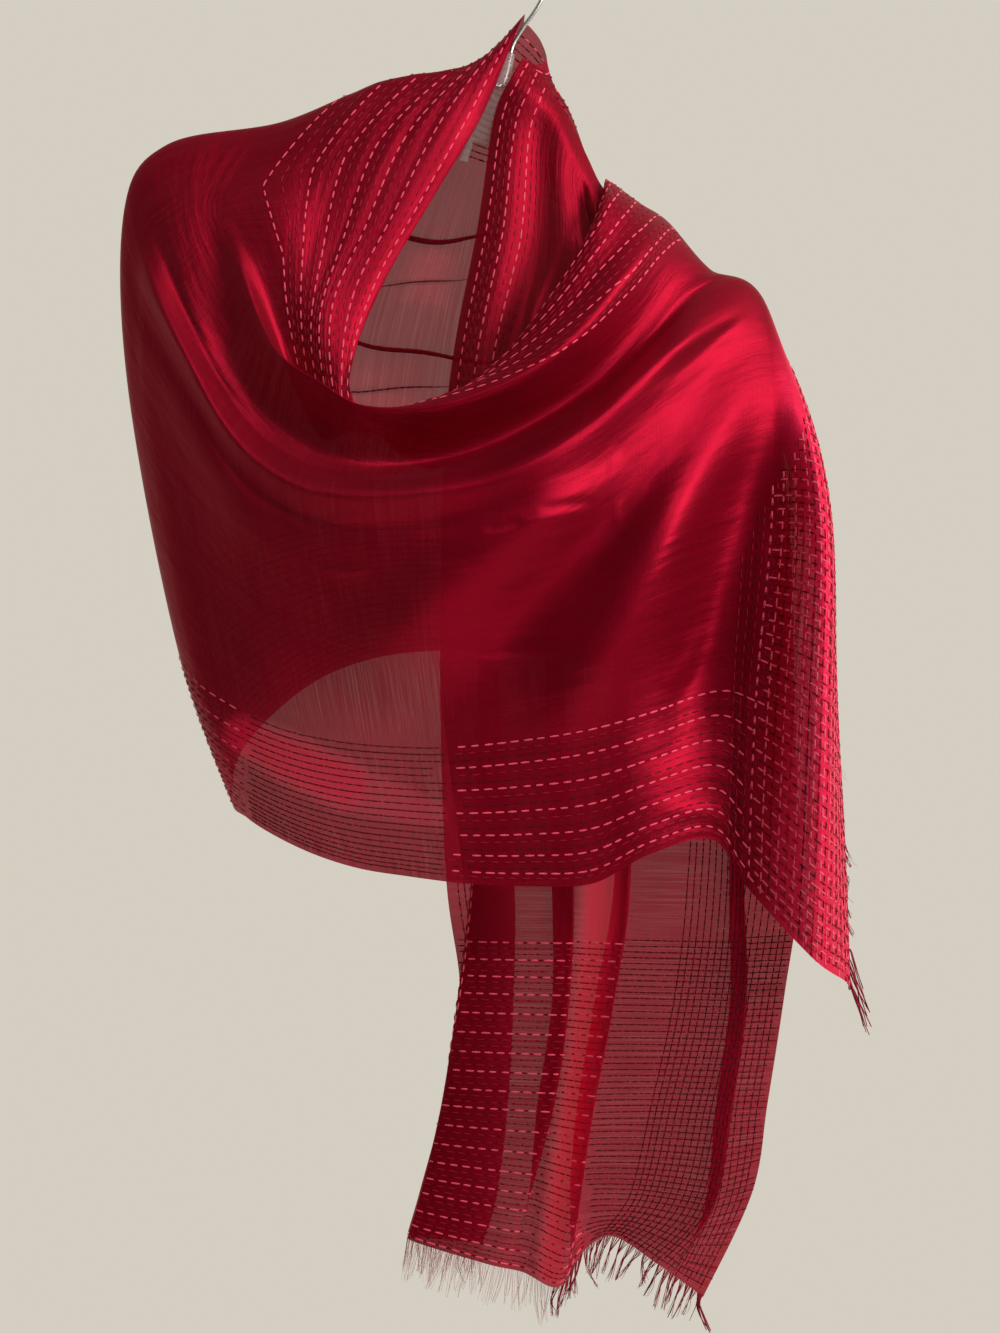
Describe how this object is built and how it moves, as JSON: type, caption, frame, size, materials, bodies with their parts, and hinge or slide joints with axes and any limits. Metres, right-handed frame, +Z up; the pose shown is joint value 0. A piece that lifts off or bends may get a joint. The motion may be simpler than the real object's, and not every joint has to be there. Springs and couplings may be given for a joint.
{
  "type": "kantha stole on a hanger",
  "caption": "Long silk stole with running-stitch borders and fringed ends, wound over a clear coat hanger as a cowl.",
  "frame": {"origin": "inner top of the hanger's hook, where it bears on a rail", "axes": "+Z up, +X to the viewer's right across the hanger, +Y from the front of the stole to its back"},
  "size_m": [0.5173, 0.1697, 0.9817],
  "materials": {
    "silk": "sheer satin-faced silk with slubs",
    "fringe": "loose silk threads",
    "thread": "lustrous running-stitch thread",
    "clear_plastic": "clear moulded plastic",
    "steel": "bright drawn wire"
  },
  "bodies": {
    "root": {"hanging_end": "silk", "back_stretch": "silk", "cowl_left": "silk", "cowl_right": "silk", "shoulder_throw": "silk", "hanging_fringe": "fringe", "thrown_fringe": "fringe", "hanger_body": "clear_plastic", "hanger_boss": "clear_plastic", "hanger_hook": "steel"}
  },
  "joints": []
}
